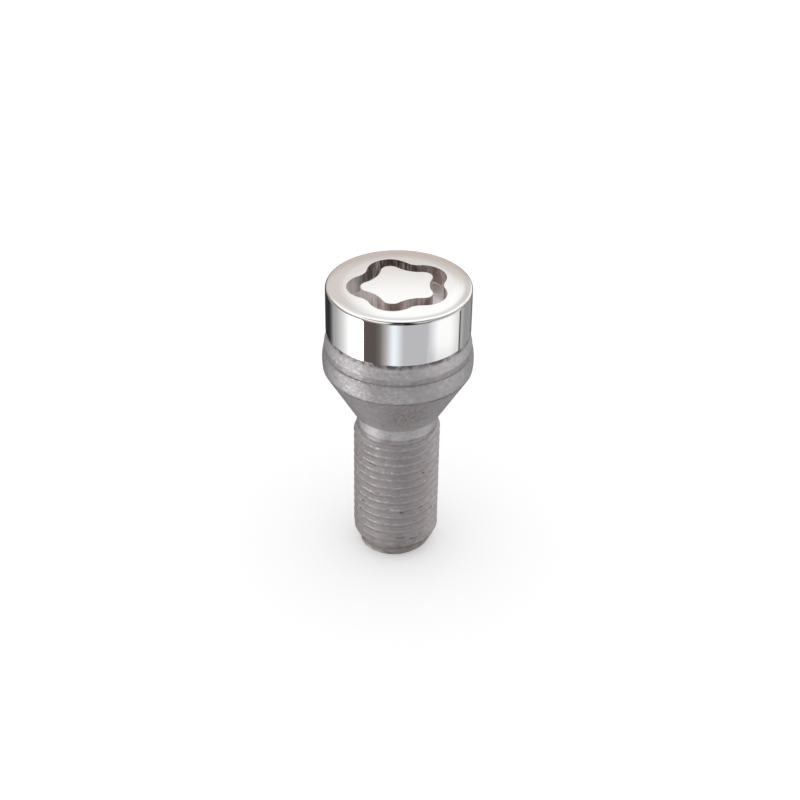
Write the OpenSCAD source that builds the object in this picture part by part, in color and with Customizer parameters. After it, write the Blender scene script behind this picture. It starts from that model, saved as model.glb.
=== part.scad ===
// Locking wheel bolt, forged and turned from one piece of steel.
// From the tip up: tapered lead-in, rolled thread, plain neck, conical seat,
// band, shoulder, and a bright head with a closed wavy key groove in its face.
// The bolt stands on its tip face, with its axis on Z.

/* [Thread] */
// Outside diameter of the thread
thread_d = 14; // [12:0.5:16]
// Distance from one turn of the thread to the next
pitch = 1.5; // [1:0.25:2]
// Length from the tip face to the neck
thread_len = 23.5; // [18:0.5:40]
// Height of the ridge's middle above the tip face, on the +X side
ridge_start = 0.45; // [0:0.05:1]
// Length of the tapered lead-in at the tip
lead_len = 3.1; // [1.5:0.1:5]
// Angle between the lead-in and the axis
lead_angle = 27; // [15:1:35]
// Radius of the edge round the tip face
tip_edge = 0.3; // [0.1:0.05:0.6]

/* [Neck] */
// Length of the plain neck between the thread and the seat
neck_len = 2.9; // [1.5:0.1:8]
// How much smaller the neck's radius is than the thread's
neck_drop = 0.5; // [0.2:0.05:0.8]
// Radius of the fillet where the neck meets the seat
neck_fillet = 0.6; // [0.1:0.05:0.8]

/* [Seat] */
// Included angle of the conical seat
seat_angle = 60; // [50:1:90]
// How far the small end of the seat stands out past the thread
seat_land = 0.15; // [0:0.05:0.6]
// Diameter of the large end of the seat
seat_d = 23.75; // [21:0.05:27]

/* [Collar] */
// Height of the band above the seat
band_h = 3.3; // [1:0.1:6]
// How far the middle of the band stands out past its ends
band_crown = 0.15; // [0.01:0.01:0.4]
// How much smaller the band's radius is at its top than at the seat
band_taper = 0.1; // [0:0.02:0.3]
// Depth of the fine step between the band and the shoulder
step_depth = 0.17; // [0.05:0.01:0.3]
// Height of the shoulder between the band and the head
shoulder_h = 3.5; // [2.5:0.1:6]
// Height of the nearly upright flank at the foot of the shoulder
flank_h = 1; // [0.5:0.1:2]
// How far the flank leans out from its foot to its top
flank_lean = 0.04; // [0:0.01:0.2]

/* [Head] */
// Diameter of the bright head
head_d = 22.75; // [21:0.05:23.4]
// Height of the bright head
head_h = 7.6; // [6:0.1:12]
// Radius of the head's rounded top edge
head_edge = 0.5; // [0.2:0.1:1.2]
// How far the head's lower edge stands out past the shoulder
head_lip = 0.3; // [0.1:0.02:0.5]

/* [Key groove] */
// Angles of the lobes of the key path, counted from +X
lobe_angles = [34, 108, 190, 257, 326]; // [0:1:360]
// Distance from the axis to the middle of a lobe's arc
lobe_reach = 4.45; // [4:0.05:5]
// Radius of the path round a lobe
lobe_r = 2.6; // [2:0.05:2.9]
// Radius of the path round the hollow between two lobes
hollow_r = 4; // [3:0.1:6]
// Width of the groove
groove_w = 2.15; // [1.2:0.05:2.4]
// Depth of the groove
groove_depth = 2.8; // [1.5:0.1:5]

/* [Hidden] */
$fn = 96;

zinc_grey = [0.60, 0.59, 0.59];
bright_plate = [0.86, 0.86, 0.88];

edge_steps = 8;      // straight pieces in a rounded edge
crown_steps = 6;     // straight pieces in a crowned face
path_steps = 10;     // straight pieces in each arc of the key path
turn_steps = 44;     // flat faces round one turn of the thread
above = 1;           // how far the groove's cutter reaches past the face

thread_r = thread_d / 2;
ridge_h = 5 / 8 * pitch * cos(30);
root_r = thread_r - ridge_h;
tip_r = thread_r - lead_len * tan(lead_angle);
neck_r = thread_r - neck_drop;
small_r = thread_r + seat_land;
seat_r = seat_d / 2;
head_r = head_d / 2;
band_top_r = seat_r - band_taper;
flank_r = band_top_r - step_depth;
fillet_r = min(neck_fillet, small_r - neck_r);

neck_z = thread_len;
seat_z = neck_z + neck_len;
band_z = seat_z + (seat_r - small_r) / tan(seat_angle / 2);
shoulder_z = band_z + band_h;
head_z = shoulder_z + shoulder_h;
face_z = head_z + head_h;

// Points of an arc about mid, from one angle to another
function arc(mid, r, from, to, steps) = [for (k = [0 : steps])
    let (a = from + (to - from) * k / steps) mid + r * [cos(a), sin(a)]];

// Points of a bowed line whose middle stands out by bow
function bowed(from, to, bow) = [for (k = [0 : crown_steps])
    let (t = k / crown_steps) from + (to - from) * t + [4 * bow * t * (1 - t), 0]];

// A closed shape turned about the axis, from the outer line of its section
module turned(outer) {
    last = len(outer) - 1;
    rotate_extrude() polygon(concat([[0, outer[0][1]]], outer, [[0, outer[last][1]]]));
}

// Ridge of the thread over one pitch: share of the pitch, and radius
ridge = [[1 / 8, root_r], [7 / 16, thread_r], [9 / 16, thread_r], [7 / 8, root_r]];

// Endless ridge as one closed body, from below the tip face to above the neck
module ridge_body() {
    count = len(ridge);
    low = ridge_start - 2.5 * pitch;
    turns = ceil((thread_len - low) / pitch) + 1;
    rows = turns * count;
    column = rows + count + 1;
    wall = [for (i = [0 : turn_steps - 1], m = [0 : column - 1])
        let (a = 360 * i / turn_steps, p = ridge[m % count], lift = floor(m / count) + p[0] + i / turn_steps)
        [p[1] * cos(a), p[1] * sin(a), low + pitch * lift]];
    foot = len(wall);
    top = foot + 1;
    function at(i, m) = i < turn_steps ? i * column + m : m + count;
    turned_faces = [for (i = [0 : turn_steps - 1], m = [0 : rows - 1])
        each [[at(i, m), at(i, m + 1), at(i + 1, m + 1)], [at(i, m), at(i + 1, m + 1), at(i + 1, m)]]];
    end_faces = [for (i = [0 : turn_steps - 1])
        each [[foot, at(i, 0), at(i + 1, 0)], [top, at(i + 1, rows), at(i, rows)]]];
    start_faces = [for (m = [0 : count - 1]) each [[foot, m + 1, m], [top, rows + m, rows + m + 1]]];
    polyhedron(concat(wall, [[0, 0, low], [0, 0, low + pitch * (turns + 2)]]),
        concat(turned_faces, end_faces, start_faces));
}

// Lead-in cone with its rounded tip edge, the full thread, and the taper to the neck
module thread_blank() {
    edge_mid = [tip_r - tip_edge * tan(45 - lead_angle / 2), tip_edge];
    turned(concat(
        arc(edge_mid, tip_edge, -90, -lead_angle, edge_steps),
        [[thread_r, lead_len], [thread_r, neck_z - neck_drop], [neck_r, neck_z]]
    ));
}

module thread() {
    color(zinc_grey) intersection() {
        ridge_body();
        thread_blank();
    }
}

// Plain neck, with the run-out that fills the thread's last groove below it
module neck() {
    color(zinc_grey) turned(concat(
        [[root_r, neck_z - pitch], [neck_r, neck_z]],
        arc([neck_r + fillet_r, seat_z - fillet_r], fillet_r, 180, 90, edge_steps),
        [[neck_r + fillet_r, seat_z]]
    ));
}

module seat() {
    color(zinc_grey) turned([[small_r, seat_z], [seat_r, band_z]]);
}

module band() {
    color(zinc_grey) turned(bowed([seat_r, band_z], [band_top_r, shoulder_z], band_crown));
}

// Upright flank with a crisp top edge, and the cone from there to the head
module shoulder() {
    color(zinc_grey) turned([
        [flank_r, shoulder_z],
        [flank_r + flank_lean, shoulder_z + flank_h],
        [head_r - head_lip, head_z]
    ]);
}

// The key path runs round each lobe and, the other way, round the hollow after it
function lobe_mid(k) = let (a = lobe_angles[k % len(lobe_angles)]) lobe_reach * [cos(a), sin(a)];
function hollow_mid(k) =
    let (p = lobe_mid(k), q = lobe_mid(k + 1), mid = (p + q) / 2)
    mid + mid / norm(mid) * sqrt(pow(lobe_r + hollow_r, 2) - pow(norm(q - p) / 2, 2));
function angle_to(from, to) = atan2(to[1] - from[1], to[0] - from[0]);
function next_after(a, b) = b < a ? b + 360 : b;

// Outline at a distance off outside the key path
function key_outline(off) = [for (k = [0 : len(lobe_angles) - 1])
    let (
        lobe = lobe_mid(k),
        hollow = hollow_mid(k),
        first = angle_to(lobe, hollow_mid(k + len(lobe_angles) - 1)),
        last = next_after(first, angle_to(lobe, hollow)),
        turn = next_after(angle_to(hollow, lobe_mid(k + 1)), angle_to(hollow, lobe))
    )
    each concat(
        arc(lobe, lobe_r + off, first, last, path_steps),
        arc(hollow, hollow_r - off, turn, angle_to(hollow, lobe_mid(k + 1)), path_steps)
    )];

module key_groove() {
    translate([0, 0, face_z - groove_depth])
        linear_extrude(groove_depth + above)
            difference() {
                polygon(key_outline(groove_w / 2));
                polygon(key_outline(-groove_w / 2));
            }
}

module head() {
    color(bright_plate) difference() {
        turned(concat(
            [[head_r, head_z]],
            arc([head_r - head_edge, face_z - head_edge], head_edge, 0, 90, edge_steps)
        ));
        key_groove();
    }
}

module wheel_bolt() {
    union() {
        thread();
        neck();
        seat();
        band();
        shoulder();
        head();
    }
}

wheel_bolt();
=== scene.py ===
from math import atan2, cos, pi, radians, sin, tan

import bpy
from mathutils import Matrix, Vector


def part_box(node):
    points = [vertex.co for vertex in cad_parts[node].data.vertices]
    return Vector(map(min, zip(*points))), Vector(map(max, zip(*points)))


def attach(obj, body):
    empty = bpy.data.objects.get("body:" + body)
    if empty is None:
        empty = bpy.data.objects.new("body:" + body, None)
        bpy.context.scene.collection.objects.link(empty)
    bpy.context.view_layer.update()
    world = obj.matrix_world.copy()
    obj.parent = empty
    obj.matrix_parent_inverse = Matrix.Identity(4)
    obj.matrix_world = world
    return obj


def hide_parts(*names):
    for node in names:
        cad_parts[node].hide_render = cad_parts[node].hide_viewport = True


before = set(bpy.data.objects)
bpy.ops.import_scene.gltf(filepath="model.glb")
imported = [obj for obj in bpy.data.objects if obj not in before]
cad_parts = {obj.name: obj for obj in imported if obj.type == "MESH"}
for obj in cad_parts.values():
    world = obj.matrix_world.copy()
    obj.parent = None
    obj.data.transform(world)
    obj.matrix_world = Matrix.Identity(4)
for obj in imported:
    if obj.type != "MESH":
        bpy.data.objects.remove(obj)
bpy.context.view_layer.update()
mm = 0.001      # the bolt is shaped in millimetres and brought down to metres at the end


# Small helpers

def deselectAll():
    if bpy.context.mode != "OBJECT":
        bpy.ops.object.mode_set(mode="OBJECT")
    bpy.ops.object.select_all(action="DESELECT")


def makeActive(piece):
    deselectAll()
    piece.select_set(True)
    bpy.context.view_layer.objects.active = piece


def editMesh(piece, selectMode="FACE"):
    makeActive(piece)
    bpy.ops.object.mode_set(mode="EDIT")
    bpy.ops.mesh.select_mode(type=selectMode)


def pickAll():
    bpy.ops.mesh.select_all(action="SELECT")


def pickNone():
    bpy.ops.mesh.select_all(action="DESELECT")


def objectMode():
    bpy.ops.object.mode_set(mode="OBJECT")


def settleTransform():
    bpy.ops.object.transform_apply(location=True, rotation=True, scale=True)


def applyModifier(piece, kind, **settings):
    makeActive(piece)
    modifier = piece.modifiers.new(kind.title(), kind)
    for name, value in settings.items():
        setattr(modifier, name, value)
    bpy.ops.object.modifier_apply(modifier=modifier.name)


def cutWith(piece, operation, tool):
    applyModifier(piece, "BOOLEAN", operation=operation, object=tool, solver="MANIFOLD")
    bpy.data.objects.remove(tool)


def arcPoints(midX, midY, radius, fromAngle, toAngle, steps):
    turn = (toAngle - fromAngle) / steps
    angles = [radians(fromAngle + turn * k) for k in range(steps + 1)]
    return [(midX + radius * cos(angle), midY + radius * sin(angle)) for angle in angles]


def bowedLine(start, end, bow, steps):
    return [(start[0] + (end[0] - start[0]) * k / steps + 4 * bow * (k / steps) * (1 - k / steps),
             start[1] + (end[1] - start[1]) * k / steps) for k in range(steps + 1)]


# A round body raised ring by ring from a circle, each ring as (radius, height)
def raiseBody(name, rings, sides):
    deselectAll()
    firstRadius, firstHeight = rings[0]
    bpy.ops.mesh.primitive_circle_add(vertices=sides, radius=firstRadius, fill_type="NGON",
                                      location=(0, 0, firstHeight))
    piece = bpy.context.object
    piece.name = name
    settleTransform()
    editMesh(piece)
    pickAll()
    for (radius, height), (nextRadius, nextHeight) in zip(rings, rings[1:]):
        growth = nextRadius / radius
        lift = (0, 0, nextHeight - height)
        bpy.ops.mesh.extrude_region_move(TRANSFORM_OT_translate={"value": lift})
        bpy.ops.transform.resize(value=(growth, growth, 1), center_override=(0, 0, nextHeight))
    pickAll()
    bpy.ops.mesh.normals_make_consistent(inside=False)
    objectMode()
    return piece


# The thread: the same sizes as the solid's
thread = {
    "radius": 7.0,
    "pitch": 1.5,
    "flankAngle": 30,           # between each side of the ridge and a level plane
    "depthShare": 5 / 8,        # of the height of the sharp triangle, as in the basic profile
    "ridgeShares": (1 / 8, 7 / 16, 9 / 16, 7 / 8),     # where the ridge turns, in shares of the pitch
    "length": 23.5,
    "ridgeStart": 0.45,         # height of the ridge's middle over the tip face, on +X
    "turnsBelow": 2.5,          # the ridge starts this many turns lower, and is trimmed later
    "turnsAbove": 2,            # and it ends up to this many higher than the thread
    "leadLength": 3.1,
    "leadAngle": 27,
    "tipEdge": 0.3,
    "tipSteps": 5,
    "crestSoftness": 0.07,      # how far the corners of the ridge are rounded
    "crestSegments": 3,
    "neckOverlap": 0.05,        # the thread's top reaches this far into the neck
    "weld": 0.0005,
    "tipShift": 0.45,           # the tip face is ground this far off centre, towards -X
    "tipShiftHeight": 0.55,     # and the metal over it is drawn along up to here
    "sides": 128,
}

# The turned body over the thread
body = {
    "rootGap": 0.15,        # its first ring lies this far inside the thread's root
    "neckDrop": 0.5,
    "neckLength": 2.9,
    "neckFillet": 0.6,
    "filletSteps": 6,
    "seatAngle": 60,
    "seatLand": 0.15,
    "seatRadius": 11.875,
    "bandHeight": 3.3,
    "bandCrown": 0.15,
    "bandTaper": 0.1,
    "crownSteps": 6,
    "stepDepth": 0.17,
    "shoulderHeight": 3.5,
    "flankHeight": 1.0,
    "flankLean": 0.04,
    "headRadius": 11.375,
    "headEdge": 0.5,
    "edgeSteps": 8,
    "headLip": 0.3,
    "faceFall": 0.045,      # the polished face falls away this much at its edge
    "fallStart": 8.3,       # from this radius on
    "rollFall": 0.015,      # and this much more
    "rollStart": 10.3,      # from here
    "fallSteps": 12,
    "heldEdge": 0.12,       # how far on each side of a soft corner the shading is held
    "sides": 192,
    "smoothBelow": 25,      # faces that meet at less than this many degrees are shaded as one
}

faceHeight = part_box("wheel_bolt")[1][2] / mm
neckHeight = thread["length"]
seatHeight = neckHeight + body["neckLength"]
smallRadius = thread["radius"] + body["seatLand"]
neckRadius = thread["radius"] - body["neckDrop"]
rootRadius = thread["radius"] - thread["depthShare"] * thread["pitch"] * cos(radians(thread["flankAngle"]))
bandHeight = seatHeight + (body["seatRadius"] - smallRadius) / tan(radians(body["seatAngle"] / 2))
shoulderHeight = bandHeight + body["bandHeight"]
headHeight = shoulderHeight + body["shoulderHeight"]


def faceDrop(radius):
    rim = body["headRadius"] - body["headEdge"]
    fall = max(0, (radius - body["fallStart"]) / (rim - body["fallStart"])) ** 2
    roll = max(0, (radius - body["rollStart"]) / (rim - body["rollStart"])) ** 2
    return body["faceFall"] * fall + body["rollFall"] * roll


def makeBody():
    fillet = body["neckFillet"]
    edge = body["headEdge"]
    bandTop = (body["seatRadius"] - body["bandTaper"], shoulderHeight)
    flankRadius = bandTop[0] - body["stepDepth"]
    flankTop = (flankRadius + body["flankLean"], shoulderHeight + body["flankHeight"])
    coneTop = (body["headRadius"] - body["headLip"], headHeight)
    rings = [(rootRadius - body["rootGap"], neckHeight - thread["pitch"]), (neckRadius, neckHeight)]
    rings += arcPoints(neckRadius + fillet, seatHeight - fillet, fillet, 180, 90, body["filletSteps"])
    rings += [(smallRadius, seatHeight)]
    rings += bowedLine((body["seatRadius"], bandHeight), bandTop, body["bandCrown"], body["crownSteps"])

    # an extra ring on each side of the flank's top holds its shading
    held = body["heldEdge"]
    heldBelow = held * body["flankLean"] / body["flankHeight"]
    heldAbove = held * (flankTop[0] - coneTop[0]) / (coneTop[1] - flankTop[1])
    rings += [(flankRadius, shoulderHeight), (flankTop[0] - heldBelow, flankTop[1] - held),
              (flankTop[0] - heldAbove, flankTop[1] + held), coneTop, (body["headRadius"], headHeight)]

    flatRadius = body["headRadius"] - edge
    edgeMiddle = faceHeight - faceDrop(flatRadius) - edge
    rings += arcPoints(flatRadius, edgeMiddle, edge, 0, 90, body["edgeSteps"])
    for k in range(1, body["fallSteps"] + 1):
        radius = flatRadius - (flatRadius - body["fallStart"]) * k / body["fallSteps"]
        rings.append((radius, faceHeight - faceDrop(radius)))
    piece = raiseBody("wheelBolt", rings, body["sides"])
    print("body raised")
    return piece


# The closed wavy key groove: a square section spun round each lobe and each hollow in turn
groove = {
    "lobeAngles": [34, 108, 190, 257, 326],
    "lobeReach": 4.45,
    "lobeRadius": 2.6,
    "hollowRadius": 4.0,
    "width": 2.15,
    "depth": 2.8,
    "over": 1.0,            # how far the cutter stands over the face
    "edgeBreak": 0.14,
    "breakOver": 50,        # edges sharper than this many degrees are broken
    "footFillet": 0.16,
    "segments": 3,
    "arcSteps": 20,
    "weld": 0.001,
}


def headingDegrees(start, end):
    return atan2(end[1] - start[1], end[0] - start[0]) * 180 / pi


def lobeMiddle(k):
    angle = radians(groove["lobeAngles"][k % len(groove["lobeAngles"])])
    return Vector((cos(angle), sin(angle), 0)) * groove["lobeReach"]


def hollowMiddle(k):
    lobe, nextLobe = lobeMiddle(k), lobeMiddle(k + 1)
    middle = (lobe + nextLobe) / 2
    span = groove["lobeRadius"] + groove["hollowRadius"]
    return middle + middle.normalized() * (span ** 2 - (nextLobe - lobe).length_squared / 4) ** 0.5


def spinRound(middle, turn):
    bpy.ops.mesh.spin(steps=groove["arcSteps"], angle=turn, center=middle, axis=(0, 0, 1))


# Edges at one height where an upright wall meets a level face
def pickFootEdges(piece, height):
    uprightBelow = 0.5      # an upright face's normal rises less than this
    near = 0.01
    editMesh(piece, "EDGE")
    pickNone()
    objectMode()
    points = piece.data.vertices
    sides = {}
    for face in piece.data.polygons:
        for pair in face.edge_keys:
            sides.setdefault(pair, []).append(abs(face.normal.z))
    for edge in piece.data.edges:
        upright = [side < uprightBelow for side in sides[edge.key]]
        if any(upright) and not all(upright):
            edge.select = all(abs(points[k].co.z - height) < near for k in edge.vertices)
    bpy.ops.object.mode_set(mode="EDIT")


def makeGrooveCutter():
    tall = groove["depth"] + groove["over"]
    start = radians(headingDegrees(lobeMiddle(0), hollowMiddle(-1)))
    middle = lobeMiddle(0) + Vector((cos(start), sin(start), 0)) * groove["lobeRadius"]
    deselectAll()
    bpy.ops.mesh.primitive_plane_add(size=1, rotation=(pi / 2, 0, start),
                                     location=(middle.x, middle.y, faceHeight + groove["over"] - tall / 2))
    cutter = bpy.context.object
    cutter.name = "grooveCutter"
    cutter.scale = (groove["width"], tall, 1)
    settleTransform()
    editMesh(cutter)
    pickAll()
    for k in range(len(groove["lobeAngles"])):
        lobe, hollow = lobeMiddle(k), hollowMiddle(k)
        intoLobe = headingDegrees(lobe, hollowMiddle(k - 1))
        roundLobe = (headingDegrees(lobe, hollow) - intoLobe) % 360
        roundHollow = (headingDegrees(hollow, lobe) - headingDegrees(hollow, lobeMiddle(k + 1))) % 360
        spinRound(lobe, -radians(roundLobe))
        spinRound(hollow, radians(roundHollow))
    pickAll()
    bpy.ops.mesh.remove_doubles(threshold=groove["weld"])
    pickNone()
    bpy.ops.mesh.select_interior_faces()
    bpy.ops.mesh.delete(type="FACE")
    pickAll()
    bpy.ops.mesh.normals_make_consistent(inside=False)
    pickFootEdges(cutter, faceHeight - groove["depth"])
    bpy.ops.mesh.bevel(offset=groove["footFillet"], segments=groove["segments"], offset_type="OFFSET")
    objectMode()
    print("groove cutter spun")
    return cutter


# The thread's ridge over one pitch, turned up the axis by a Screw modifier
def makeRidge():
    pitch, crestRadius = thread["pitch"], thread["radius"]
    footShare, crestFoot, crestTop, topShare = thread["ridgeShares"]
    ridge = [(rootRadius, 0), (rootRadius, footShare), (crestRadius, crestFoot), (crestRadius, crestTop),
             (rootRadius, topShare), (rootRadius, 1)]
    low = thread["ridgeStart"] - thread["turnsBelow"] * pitch
    turns = int((thread["length"] - low) / pitch) + thread["turnsAbove"]
    deselectAll()
    bpy.ops.mesh.primitive_plane_add(size=pitch / 2, location=(rootRadius, 0, low))
    piece = bpy.context.object
    piece.name = "threadRidge"
    settleTransform()
    editMesh(piece, "VERT")
    pickAll()
    bpy.ops.mesh.merge(type="CENTER")
    for (radius, share), (nextRadius, nextShare) in zip(ridge, ridge[1:]):
        move = (nextRadius - radius, 0, pitch * (nextShare - share))
        bpy.ops.mesh.extrude_region_move(TRANSFORM_OT_translate={"value": move})
    pickAll()
    bpy.ops.mesh.bevel(affect="VERTICES", offset=thread["crestSoftness"], segments=thread["crestSegments"])
    objectMode()
    applyModifier(piece, "SCREW", angle=2 * pi, screw_offset=pitch, iterations=turns, axis="Z",
                  steps=thread["sides"], render_steps=thread["sides"])
    editMesh(piece, "EDGE")
    pickAll()
    bpy.ops.mesh.remove_doubles(threshold=thread["weld"])
    bpy.ops.mesh.fill_holes(sides=0)
    pickAll()
    bpy.ops.mesh.normals_make_consistent(inside=True)   # its helical ends turn Blender's guess round
    objectMode()
    print("thread ridge turned,", turns, "turns")
    return piece


# The ridge trimmed by a blank with the lead-in, and its tip face moved off centre
def makeThread():
    lead = radians(thread["leadAngle"])
    tipRadius = thread["radius"] - thread["leadLength"] * tan(lead)
    edge = thread["tipEdge"]
    edgeMiddle = tipRadius - edge * tan(pi / 4 - lead / 2)
    drawn = thread["tipShiftHeight"]
    overlap = thread["neckOverlap"]
    rings = arcPoints(edgeMiddle, edge, edge, -90, -thread["leadAngle"], thread["tipSteps"])
    rings += [(tipRadius + drawn * tan(lead), drawn), (thread["radius"], thread["leadLength"]),
              (thread["radius"], neckHeight - body["neckDrop"]),
              (neckRadius - overlap, neckHeight + overlap)]
    blank = raiseBody("threadBlank", rings, thread["sides"])
    ridge = makeRidge()
    cutWith(ridge, "INTERSECT", blank)
    for point in ridge.data.vertices:
        point.co.x -= thread["tipShift"] * max(0, 1 - point.co.z / drawn)
    print("thread trimmed")
    return ridge


def makeBolt():
    bolt = makeBody()
    cutWith(bolt, "DIFFERENCE", makeGrooveCutter())
    applyModifier(bolt, "BEVEL", width=groove["edgeBreak"], segments=groove["segments"],
                  limit_method="ANGLE", angle_limit=radians(groove["breakOver"]),
                  offset_type="OFFSET", miter_outer="MITER_ARC")
    cutWith(bolt, "UNION", makeThread())
    editMesh(bolt)
    pickAll()
    bpy.ops.transform.resize(value=(mm, mm, mm), center_override=(0, 0, 0))
    objectMode()
    bpy.ops.object.shade_smooth_by_angle(angle=radians(body["smoothBelow"]))
    applyModifier(bolt, "WEIGHTED_NORMAL", keep_sharp=True)
    print("bolt joined:", len(bolt.data.polygons), "faces")
    return bolt


# Helpers for the finishes. A plain number stands for a grey wherever a colour is asked for
grainRoughness = 0.55


def addNode(tree, kind, **settings):
    node = tree.nodes.new("ShaderNode" + kind)
    for name, value in settings.items():
        setattr(node, name, value)
    return node


def feed(tree, socket, value):
    if isinstance(value, bpy.types.NodeSocket):
        tree.links.new(value, socket)
    else:
        socket.default_value = value


def colourOf(tone):
    return (tone, tone, tone, 1) if isinstance(tone, (int, float)) else (*tone, 1)


def sums(tree, operation, *values):
    node = addNode(tree, "Math", operation=operation)
    for socket, value in zip(node.inputs, values):
        feed(tree, socket, value)
    return node.outputs[0]


def times(tree, first, *others):
    for other in others:
        first = sums(tree, "MULTIPLY", first, other)
    return first


def vectors(tree, operation, first, second=None, output="Vector"):
    node = addNode(tree, "VectorMath", operation=operation)
    feed(tree, node.inputs[0], first)
    if second:
        node.inputs[1].default_value = second
    return node.outputs[output]


def partsOf(tree, vector):
    parts = addNode(tree, "SeparateXYZ")
    tree.links.new(vector, parts.inputs[0])
    return parts.outputs


def grain(tree, place, size, stretch=(1, 1, 1), detail=3):
    noise = addNode(tree, "TexNoise")
    scaled = vectors(tree, "MULTIPLY", place, [part / (size * mm) for part in stretch])
    tree.links.new(scaled, noise.inputs["Vector"])
    noise.inputs["Scale"].default_value = 1
    noise.inputs["Detail"].default_value = detail
    noise.inputs["Roughness"].default_value = grainRoughness
    return noise.outputs["Fac"]


def ramp(tree, value, stops):
    node = addNode(tree, "ValToRGB")
    elements = node.color_ramp.elements
    while len(elements) < len(stops):
        elements.new(0.5)       # every stop gets its place below
    for element, (position, tone) in zip(elements, stops):
        element.position = position
        element.color = colourOf(tone)
    feed(tree, node.inputs["Fac"], value)
    return node.outputs["Color"]


def slope(tree, value, low, high, lowTone=0, highTone=1):
    return ramp(tree, value, [(low, lowTone), (high, highTone)])


def blend(tree, share, first, second, kind="MIX"):
    node = addNode(tree, "Mix", data_type="RGBA", blend_type=kind)
    feed(tree, node.inputs["Factor"], share)
    for name, value in (("A", first), ("B", second)):
        feed(tree, node.inputs[name], value if isinstance(value, bpy.types.NodeSocket) else colourOf(value))
    return node.outputs["Result"]


def bump(tree, height, distance, after=None):
    node = addNode(tree, "Bump")
    node.inputs["Distance"].default_value = distance * mm
    tree.links.new(height, node.inputs["Height"])
    if after:
        tree.links.new(after, node.inputs["Normal"])
    return node.outputs["Normal"]


def rise(tree, value, low, high):
    node = addNode(tree, "MapRange", interpolation_type="SMOOTHSTEP")
    feed(tree, node.inputs["Value"], value)
    node.inputs["From Min"].default_value = low
    node.inputs["From Max"].default_value = high
    return node.outputs[0]


# Comes in from start to low and goes out from high to end
def within(tree, value, start, low, high, end):
    return times(tree, rise(tree, value, start, low), rise(tree, value, end, high))


def nearness(tree, place, spot, reach):
    away = vectors(tree, "DISTANCE", place, [part * mm for part in spot], "Value")
    return rise(tree, away, reach[1] * mm, reach[0] * mm)


def newFinish(name, metallic=1.0):
    finish = bpy.data.materials.new(name)
    finish.use_nodes = True
    tree = finish.node_tree
    shader = tree.nodes["Principled BSDF"]
    shader.inputs["Metallic"].default_value = metallic
    return finish, tree, shader


def onPiece(tree):
    return addNode(tree, "TexCoord").outputs["Object"]


# Bright plating, polished, on the head's wall and face
plating = {
    "tone": (0.86, 0.855, 0.85),
    "roughness": (0.025, 0.05),
    "wipe": (0.9, (1, 1, 5)),       # size and stretch of the grain
    "rippleSize": 2.4,
    "ripple": 0.0008,
}


def makePlating():
    finish, tree, shader = newFinish("brightPlating")
    place = onPiece(tree)
    shader.inputs["Base Color"].default_value = colourOf(plating["tone"])
    wipe = grain(tree, place, *plating["wipe"])
    low, high = plating["roughness"]
    feed(tree, shader.inputs["Roughness"], sums(tree, "MULTIPLY_ADD", wipe, high - low, low))
    ripple = grain(tree, place, plating["rippleSize"])
    feed(tree, shader.inputs["Normal"], bump(tree, ripple, plating["ripple"]))
    return finish


# The cut walls and floor of the key groove, plated over the cutter's marks. A grain is given as
# size, stretch and detail, and a slope as the two ends of a range and what it gives there
cutFace = {
    "metallic": 0.7,
    "light": (0.90, 0.855, 0.845),
    "dark": (0.47, 0.36, 0.33),
    "streaks": (0.3, (1, 1, 0.12), 4),
    "streakShare": 0.45,
    "patches": (2.2, (1, 1, 0.6), 2),
    "patchShare": 0.55,
    "shadeSlope": (0.42, 0.58),
    # colour of the painted shade at the groove's back
    "backShade": (0.16, 0.12, 0.105),
    "backShadePlace": (-2.0, 7.0, 48),      # painted shade: the groove's walls darken towards the back, broken by the streaks
    "backShadeReach": (3, 8.5),
    "backShadeSlope": (0.40, 0.62, 1, 0.25),
    "bright": (0.97, 0.95, 0.94),
    "brightPlace": (-7.4, -0.6, 47),    # painted highlight on this lobe's walls, which also lose the cutter's marks
    "brightReach": (2.4, 4.4),
    "brightShare": 0.9,
    # painted light: the groove's floor is painted lighter than its walls
    "floor": (0.88, 0.86, 0.85),
    "litFloorSlope": (0.6, 0.8),           # painted light on faces that look up, by how far they look up
    "roughness": 0.30,
    "markDepth": 0.02,
}


def makeCutFace():
    finish, tree, shader = newFinish("cutPlating", cutFace["metallic"])
    place = onPiece(tree)
    streaks = grain(tree, place, *cutFace["streaks"])
    patches = grain(tree, place, *cutFace["patches"])
    shade = sums(tree, "MULTIPLY_ADD", patches, cutFace["patchShare"],
                 times(tree, streaks, cutFace["streakShare"]))
    walls = blend(tree, slope(tree, shade, *cutFace["shadeSlope"]), cutFace["dark"], cutFace["light"])
    # Painted shade on the groove's back walls, broken by the streaks
    backShade = times(tree, nearness(tree, place, cutFace["backShadePlace"], cutFace["backShadeReach"]),
                  slope(tree, streaks, *cutFace["backShadeSlope"]))
    walls = blend(tree, backShade, walls, cutFace["backShade"])
    # Painted highlight on the left lobe's walls
    bright = nearness(tree, place, cutFace["brightPlace"], cutFace["brightReach"])
    walls = blend(tree, times(tree, bright, cutFace["brightShare"]), walls, cutFace["bright"])
    # Painted light: faces that look up are painted lighter
    facing = partsOf(tree, addNode(tree, "NewGeometry").outputs["Normal"])
    litFloorShare = slope(tree, facing["Z"], *cutFace["litFloorSlope"])
    feed(tree, shader.inputs["Base Color"], blend(tree, litFloorShare, walls, cutFace["floor"]))
    shader.inputs["Roughness"].default_value = cutFace["roughness"]
    marks = times(tree, streaks, sums(tree, "SUBTRACT", 1, bright))
    feed(tree, shader.inputs["Normal"], bump(tree, marks, cutFace["markDepth"]))
    return finish


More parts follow.
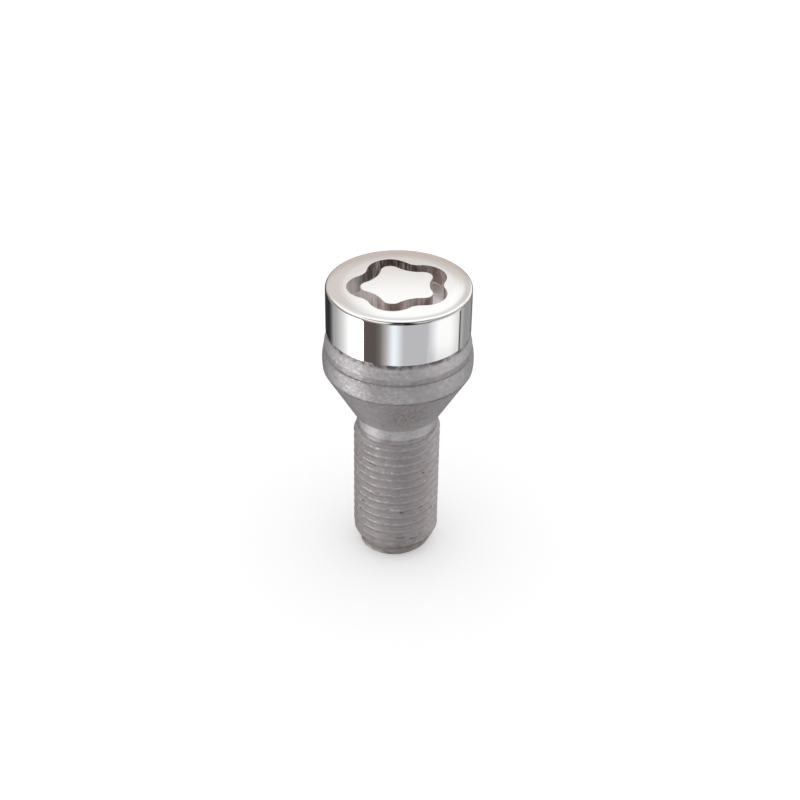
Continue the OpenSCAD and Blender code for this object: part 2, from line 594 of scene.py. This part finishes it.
# Matt zinc coat on everything under the head. Heights and distances from the axis are millimetres
zinc = {
    "metallic": 0.65,
    "light": (0.645, 0.62, 0.632),
    "dark": (0.51, 0.485, 0.495),
    "roughness": (0.36, 0.52),
    "mottle": (0.85, (1, 1, 1.5)),
    "mottleSlope": (0.32, 0.68),
    "mottleDepth": 0.10,
    "speck": (0.17, (1, 1, 1.4), 2),
    "speckDepth": 0.03,
    "rootRadii": (6.3, 6.9),        # painted light in the thread's roots, lifting their shade
    "rootTop": (23.4, 22.7),
    "rootFillLight": 0.3,
    "toneAndShade": [                      # how light the coat is painted on each surface, as (top, tone): its own tone, with painted shade darkening the lead-in, thread, seat and flank
        (thread["leadLength"], 0.71), (neckHeight + 0.65, 0.79), (seatHeight, 0.95),
        (bandHeight, 0.85), (shoulderHeight, 0.85),
        (shoulderHeight + body["flankHeight"], 0.69), (headHeight, 1.02),
    ],
}
heightSpan = 50     # a ramp over the height covers this much
radiusSpan = 10     # and one over the distance from the axis this much

# Dirt on the coat, and dark lines at its edges
dirt = {
    "brown": (0.975, 0.92, 0.925),  # a faint brown cast that lies in drifts
    "drift": (3, (1, 1, 2), 5),
    "driftSlope": (0.38, 0.62),
    "driftShares": [(neckHeight + 0.6, 1), (seatHeight, 0), (bandHeight, 0.8), (shoulderHeight, 0.2),
                    (headHeight, 0)],
    "stain": (0.30, 0.235, 0.20),
    "markPlace": (1.6, -10, 31),    # an oily mark on the front of the seat
    "markReach": (1, 5.5),
    "mark": (0.45, (1, 1, 1), 3),
    "markSlope": (0.44, 0.66, 0, 0.9),
    "markTop": (34.6, 34.5),
    "tip": (1.3, (1, 1, 3.5), 5),   # and the same stain on the lead-in
    "tipSlope": (0.44, 0.62, 0, 0.75),
    "tipTop": (4.5, 1.5),
    "darkMark": (0.12, 0.10, 0.095),
    "wander": (0.5, (1, 1, 1), 5),  # the dark lines wander up and down by this grain
    "wanderHeight": 0.4,
    "lines": [                      # as (height, half width, tone, softness)
        (0.15, 0.1, 0.5, 0.1), (neckHeight + 0.4, 0.12, 0.3, 0.2), (seatHeight, 0.05, 0.65, 0.1),
        (bandHeight, 0.07, 0.9, 0.1), (shoulderHeight, 0.02, 0.2, 0.1),
    ],
    # darker towards the head's lip, over its last half millimetre
    "underLipBand": [(headHeight - 0.95, 0), (headHeight - 0.5, 0.9), (heightSpan, 0.95)],
    "patchy": (1.1, (1, 1, 1), 4),
    "patchySlope": (0.38, 0.56, 0.25, 1),
}

# Painted highlights on the thread's crests and on the lit left-front side, where the coat is also worn to
# bare metal, and dark nicks
wear = {
    "bareAndGlint": (0.92, 0.91, 0.91),
    "side": (-0.57, -0.82, 0),      # the lit left-front side, which gets more painted highlight
    "litSideReach": (0.5, 0.95),
    "crestStops": [(6.91, 0), (6.98, 1), (7.04, 1), (7.1, 0)],
    "crest": (0.6, (1, 1, 2), 3),
    "crestSlope": (0.60, 0.70),
    "crestFrom": (4.5, 8),
    "crestGlintShare": 0.8,
    "litSideGain": 0.09,               # how much more painted highlight the crests get on that side
    "scuffAndGlint": (0.5, (1, 1, 1.8), 3),
    "scuffRise": (0.56, 0.64),
    "scuffFrom": (34, 35),
    "glintShare": 0.35,
    "scuffShine": 0.14,
    "nick": (2.0, (1, 1, 6), 2),
    "nickRise": (0.68, 0.72),
    "nickShares": [(seatHeight, 1), (headHeight, 0.25)],
    "nickShare": 0.8,
}


def stepsUp(surfaces, soft=0.06):
    stops = [(0, surfaces[0][1])]
    for (top, tone), (_, nextTone) in zip(surfaces, surfaces[1:]):
        stops += [((top - soft) / heightSpan, tone), ((top + soft) / heightSpan, nextTone)]
    return stops


def riseInHeight(tree, height, low, high):
    return rise(tree, height, low / heightSpan, high / heightSpan)


# Distance from the axis, and how far a place lies on the lit left-front side
def roundTheAxis(tree, place):
    across = vectors(tree, "MULTIPLY", place, (1 / mm, 1 / mm, 0))
    radius = sums(tree, "DIVIDE", vectors(tree, "LENGTH", across, output="Value"), radiusSpan)
    facing = vectors(tree, "DOT_PRODUCT", vectors(tree, "NORMALIZE", across), wear["side"], "Value")
    return radius, rise(tree, facing, *wear["litSideReach"])


def coatColour(tree, mottle, height, radius):
    colour = blend(tree, slope(tree, mottle, *zinc["mottleSlope"]), zinc["dark"], zinc["light"])
    # Painted light in the thread's roots, against their shade
    inner, outer = zinc["rootRadii"]
    paintedRootLight = times(tree, slope(tree, radius, inner / radiusSpan, outer / radiusSpan, 1, 0),
                   riseInHeight(tree, height, *zinc["rootTop"]), zinc["rootFillLight"])
    colour = blend(tree, paintedRootLight, colour, 1)
    # The coat's tone up the bolt, with painted shade on the lead-in, thread, seat and flank
    return blend(tree, 1, colour, ramp(tree, height, stepsUp(zinc["toneAndShade"])), "MULTIPLY")


def addDirt(tree, colour, place, height):
    drift = times(tree, slope(tree, grain(tree, place, *dirt["drift"]), *dirt["driftSlope"]),
                  ramp(tree, height, stepsUp(dirt["driftShares"])))
    colour = blend(tree, drift, colour, dirt["brown"], "MULTIPLY")
    mark = times(tree, nearness(tree, place, dirt["markPlace"], dirt["markReach"]),
                 slope(tree, grain(tree, place, *dirt["mark"]), *dirt["markSlope"]),
                 riseInHeight(tree, height, *dirt["markTop"]))
    colour = blend(tree, mark, colour, dirt["stain"])
    onTip = times(tree, riseInHeight(tree, height, *dirt["tipTop"]),
                  slope(tree, grain(tree, place, *dirt["tip"]), *dirt["tipSlope"]))
    return blend(tree, onTip, colour, dirt["stain"])


# Painted highlights on the scuffed lit side lie over those on the crests, and nicks over both
def addWear(tree, colour, place, height, radius, onLitSide, scuffAndGlint):
    crest = ramp(tree, radius, [(at / radiusSpan, share) for at, share in wear["crestStops"]])
    rough = sums(tree, "MULTIPLY_ADD", onLitSide, wear["litSideGain"], grain(tree, place, *wear["crest"]))
    # Painted highlight along the crests, with some wear
    crestGlint = times(tree, crest, slope(tree, rough, *wear["crestSlope"]),
                 riseInHeight(tree, height, *wear["crestFrom"]), wear["crestGlintShare"])
    colour = blend(tree, crestGlint, colour, wear["bareAndGlint"])
    colour = blend(tree, times(tree, scuffAndGlint, wear["glintShare"]), colour, wear["bareAndGlint"])
    nick = times(tree, rise(tree, grain(tree, place, *wear["nick"]), *wear["nickRise"]),
                 ramp(tree, height, stepsUp(wear["nickShares"])), wear["nickShare"])
    return blend(tree, nick, colour, dirt["darkMark"])


# Thin dark lines where one turned surface meets the next, and a darker band just under the head's lip
def addDarkLines(tree, colour, place, height):
    stops = []
    for at, half, tone, soft in dirt["lines"]:
        stops += [(at - half - soft, 0), (at - half, tone), (at + half, tone), (at + half + soft, 0)]
    stops = [(at / heightSpan, tone) for at, tone in stops + dirt["underLipBand"]]
    wander = sums(tree, "MULTIPLY_ADD", grain(tree, place, *dirt["wander"]),
                  dirt["wanderHeight"] / heightSpan, height)
    level = sums(tree, "SUBTRACT", wander, dirt["wanderHeight"] / 2 / heightSpan)
    patchy = slope(tree, grain(tree, place, *dirt["patchy"]), *dirt["patchySlope"])
    return blend(tree, times(tree, ramp(tree, level, stops), patchy), colour, dirt["darkMark"])


def makeZinc():
    finish, tree, shader = newFinish("mattZinc", zinc["metallic"])
    place = onPiece(tree)
    height = sums(tree, "DIVIDE", partsOf(tree, place)["Z"], heightSpan * mm)
    radius, onLitSide = roundTheAxis(tree, place)
    mottle = grain(tree, place, *zinc["mottle"])
    speck = grain(tree, place, *zinc["speck"])
    # Scuffs on the lit left-front side: shinier, and painted lighter as a highlight
    scuffAndGlint = times(tree, rise(tree, grain(tree, place, *wear["scuffAndGlint"]), *wear["scuffRise"]), onLitSide,
                  riseInHeight(tree, height, *wear["scuffFrom"]))
    colour = coatColour(tree, mottle, height, radius)
    colour = addDirt(tree, colour, place, height)
    colour = addWear(tree, colour, place, height, radius, onLitSide, scuffAndGlint)
    colour = addDarkLines(tree, colour, place, height)
    feed(tree, shader.inputs["Base Color"], colour)
    low, high = zinc["roughness"]
    coarse = sums(tree, "MULTIPLY_ADD", speck, high - low, low)
    feed(tree, shader.inputs["Roughness"], sums(tree, "MULTIPLY_ADD", scuffAndGlint, -wear["scuffShine"], coarse))
    under = bump(tree, mottle, zinc["mottleDepth"])
    feed(tree, shader.inputs["Normal"], bump(tree, speck, zinc["speckDepth"], after=under))
    return finish


# Which faces get which finish
dressing = {
    "grooveMargin": 0.2,    # the groove's walls lie within this of its outer edge
    "wallTop": 0.25,        # and this far under the face
    "headFrom": 0.02,       # the plating starts this far over the shoulder's top
}


def dressBolt(bolt):
    bolt.data.materials.clear()
    for finish in (makeZinc(), makePlating(), makeCutFace()):
        bolt.data.materials.append(finish)
    onZinc, onPlating, onCutFace = range(3)
    reach = groove["lobeReach"] + groove["lobeRadius"] + groove["width"] / 2 + dressing["grooveMargin"]
    for face in bolt.data.polygons:
        middle = face.center / mm
        inGroove = middle.xy.length < reach and middle.z < faceHeight - dressing["wallTop"]
        if middle.z <= headHeight + dressing["headFrom"]:
            face.material_index = onZinc
        else:
            face.material_index = onCutFace if inGroove else onPlating
    print("finishes given")


bolt = makeBolt()
dressBolt(bolt)
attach(bolt, "root")
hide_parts("wheel_bolt")


# Camera at the photograph's place
camera = {
    "distance": 240.45,     # from the head's face, along the view
    "tilt": 34.03,          # how far the view looks down
    "roll": 0.925,
    "aside": -0.15,         # the face's middle, right of and over the middle of the view
    "over": 17.71,
    "lens": 70.63,
    "clipStart": 0.01,
}


def makeCamera():
    tilt, roll = radians(camera["tilt"]), radians(camera["roll"])
    right = Vector((1, 0, 0))
    up = Vector((0, sin(tilt), cos(tilt)))
    ahead = Vector((0, cos(tilt), -sin(tilt)))
    rolledRight = cos(roll) * right + sin(roll) * up
    rolledUp = cos(roll) * up - sin(roll) * right
    place = Vector((0, 0, faceHeight)) - ahead * camera["distance"]
    place -= rolledRight * camera["aside"] + rolledUp * camera["over"]
    bpy.ops.object.camera_add(location=place * mm)
    view = bpy.context.object
    view.rotation_mode = "ZYX"
    view.rotation_euler = (pi / 2 - tilt, 0, roll)
    view.data.lens = camera["lens"]
    view.data.clip_start = camera["clipStart"]
    bpy.context.scene.camera = view
    print("camera placed")


makeCamera()


# The studio: cards round the bolt as (from, to, tone), seen only in its metal. Each card fades into
# the next. Angles are degrees from the camera's side, to the right
cards = {
    "backLeftFlag": (-156, -137, 0.035),
    "backLeftGlow": (-130, -130, 0.14),
    "leftPaper": (-121, -116, 0.42),
    "leftGlow": (-98, -98, 0.76),
    "leftRise": (-84, -84, 1.15),
    "leftBox": (-73, -56.2, 2.7),
    "darkFlag": (-55.2, -36, (0.115, 0.095, 0.088)),
    "darkFade": (-28, -28, (0.185, 0.17, 0.16)),
    "frontPaper": (-18, -18, (0.53, 0.50, 0.49)),
    "frontGap": (-8, -4, (0.97, 1.05, 1.10)),
    "rightPaper": (9, 45, (0.56, 0.555, 0.575)),
    "rightGlow": (57, 57, (0.90, 0.92, 0.96)),
    "rightBox": (66, 88, 1.14),
    "rightFade": (98, 98, 1.0),
    "rightEdge": (109.6, 109.6, 0.78),
    "rightSlit": (110.8, 113.4, 0.03),
    "backRightPaper": (114.2, 119, 0.46),
    "backRightShade": (126, 152, 0.33),
    "backRightFlag": (160, 164, 0.15),
}

# The light over the cards, from the horizon up. A pair of angles is where something comes in
studio = {
    "behindTone": 0.12,                     # the ring of cards is closed with this, right behind
    "behind": (100, 140),                   # how far round from the camera the back starts
    "cardsEnd": (-14, 0),                   # the light over the cards takes over here
    "lowTone": (0.22, 0.205, 0.20),         # round the horizon
    "lowBehindTone": (0.08, 0.075, 0.07),   # and there behind the bolt
    "underBoxes": [(0, 12, (0.65, 0.57, 0.53)), (26.5, 29, (0.75, 0.70, 0.66))],    # warm paper, then pale
    "boxes": 8,                             # soft boxes stand in a ring, one of them behind the bolt
    "boxTone": 1.15,
    "boxFoot": (28.6, 30.4),
    "boxHalf": 1.9,
    "boxFade": 3.0,
    "boxAside": 1.0,                        # they stand this much to the left of the full steps
    "overBoxes": [(32.5, 35, 0.84), (36.5, 38.5, 1.2)],     # a strip of paper, and more light over it
    "over": (56, 70),
    "overTone": 0.2,                        # high over the bolt, in front and at the very top
    "overBehindTone": 0.9,                  # and high up behind it
    "overBehindEnd": (86, 78),
    "under": (-50, -75),
    "underTone": 0.16,                      # under the bolt
    "wallView": -31.3,                      # the polished wall shows the studio at this angle up
    "plainLight": 0.95,                     # what reaches everything but metal
    "floorGlow": 0.2,
}

# Patches over the cards and that light. Round and up, each comes in between its first two angles
# and goes out between its last two. Those off the wall's view come in at these angles from it
patches = {
    "darkerLeft": {"round": (-152, -122, -62, -32), "up": (2, 12, 38, 44), "tone": 0, "share": 0.42},
    "weakerRight": {"round": (7, 37, 87, 117), "offWallView": (4, 9), "tone": 0, "share": 0.4},
    "boxEnds": {"round": (48, 54, 102, 108), "offWallView": (0.4, 1.5), "tone": 0, "share": 0.22},
    "tallBox": {"round": (46, 54, 98, 106), "up": (-27, -20, 5, 12), "tone": 0.8, "share": 1},
    "rimCard": {"round": (120, 128, 158, 166), "up": (0, 6, 34, 40), "tone": 1.05, "share": 1},
}

# The camera, dark in front, with a paler spot in its middle
lens = {"round": (-23, -7, 21, 37), "up": (-16, -8, 84, 90), "tone": 0.02}
lensSpot = {"round": (-11, -7, 7, 11), "up": (10, 14, 34, 38), "tone": 0.16}


def cardStops():
    behind = studio["behindTone"]
    stops = [(0, behind)]
    for start, end, tone in cards.values():
        stops += [((edge + 180) / 360, tone) for edge in sorted({start, end})]
    return stops + [(1, behind)]


def softBoxes(tree, around, up):
    spacing = 360 / studio["boxes"]
    turned = sums(tree, "ADD", around, 360 + spacing / 2 + studio["boxAside"])
    inStep = sums(tree, "MODULO", turned, spacing)
    offBox = sums(tree, "ABSOLUTE", sums(tree, "SUBTRACT", inStep, spacing / 2))
    half, fade = studio["boxHalf"], studio["boxFade"]
    return times(tree, rise(tree, offBox, half + fade, half), rise(tree, up, *studio["boxFoot"]))


def overheadLight(tree, around, up):
    behind = rise(tree, sums(tree, "ABSOLUTE", around), *studio["behind"])
    light = blend(tree, behind, studio["lowTone"], studio["lowBehindTone"])
    for low, high, tone in studio["underBoxes"]:
        light = blend(tree, rise(tree, up, low, high), light, tone)
    light = blend(tree, softBoxes(tree, around, up), light, studio["boxTone"])
    for low, high, tone in studio["overBoxes"]:
        light = blend(tree, rise(tree, up, low, high), light, tone)
    overBehind = times(tree, behind, rise(tree, up, *studio["overBehindEnd"]))
    over = blend(tree, overBehind, studio["overTone"], studio["overBehindTone"])
    return blend(tree, rise(tree, up, *studio["over"]), light, over)


def patchShare(tree, around, up, patch):
    inRound = within(tree, around, *patch["round"])
    if "up" in patch:
        return times(tree, inRound, within(tree, up, *patch["up"]))
    offWallView = sums(tree, "ABSOLUTE", sums(tree, "SUBTRACT", up, studio["wallView"]))
    return times(tree, inRound, rise(tree, offWallView, *patch["offWallView"]))


def makeWorld():
    world = bpy.data.worlds.new("studio")
    world.use_nodes = True
    tree = world.node_tree
    x, y, z = partsOf(tree, addNode(tree, "TexCoord").outputs["Generated"])
    around = times(tree, sums(tree, "ARCTAN2", x, times(tree, y, -1)), 180 / pi)
    up = times(tree, sums(tree, "ARCSINE", z), 180 / pi)
    sideCards = ramp(tree, sums(tree, "MULTIPLY_ADD", around, 1 / 360, 0.5), cardStops())
    light = blend(tree, rise(tree, up, *studio["cardsEnd"]), sideCards, overheadLight(tree, around, up))
    for patch in patches.values():
        share = times(tree, patchShare(tree, around, up, patch), patch["share"])
        light = blend(tree, share, light, patch["tone"])
    light = blend(tree, rise(tree, up, *studio["under"]), light, studio["underTone"])
    lensCard = blend(tree, patchShare(tree, around, up, lensSpot), lens["tone"], lensSpot["tone"])
    light = blend(tree, patchShare(tree, around, up, lens), light, lensCard)

    path = addNode(tree, "LightPath")
    shown = blend(tree, path.outputs["Is Glossy Ray"], studio["plainLight"], light)
    shown = blend(tree, path.outputs["Is Camera Ray"], shown, 1)
    tree.links.new(shown, tree.nodes["Background"].inputs["Color"])
    bpy.context.scene.world = world
    bpy.context.scene.view_settings.view_transform = "Standard"
    print("studio set")


# A plain pale floor, which glows a little for the camera alone
ground = {
    "size": 3,
    "tone": 0.9,
    "roughness": 0.9,
}


def makeFloor():
    bpy.ops.mesh.primitive_plane_add(size=ground["size"], location=(0, 0, 0))
    floor = bpy.context.object
    floor.name = "floor"
    floor.visible_glossy = False
    paper, tree, shader = newFinish("palePaper", metallic=0)
    shader.inputs["Base Color"].default_value = colourOf(ground["tone"])
    shader.inputs["Roughness"].default_value = ground["roughness"]
    shader.inputs["Specular IOR Level"].default_value = 0
    shader.inputs["Emission Color"].default_value = (1, 1, 1, 1)
    glow = times(tree, addNode(tree, "LightPath").outputs["Is Camera Ray"], studio["floorGlow"])
    feed(tree, shader.inputs["Emission Strength"], glow)
    floor.data.materials.append(paper)
    print("floor laid")


makeFloor()
makeWorld()
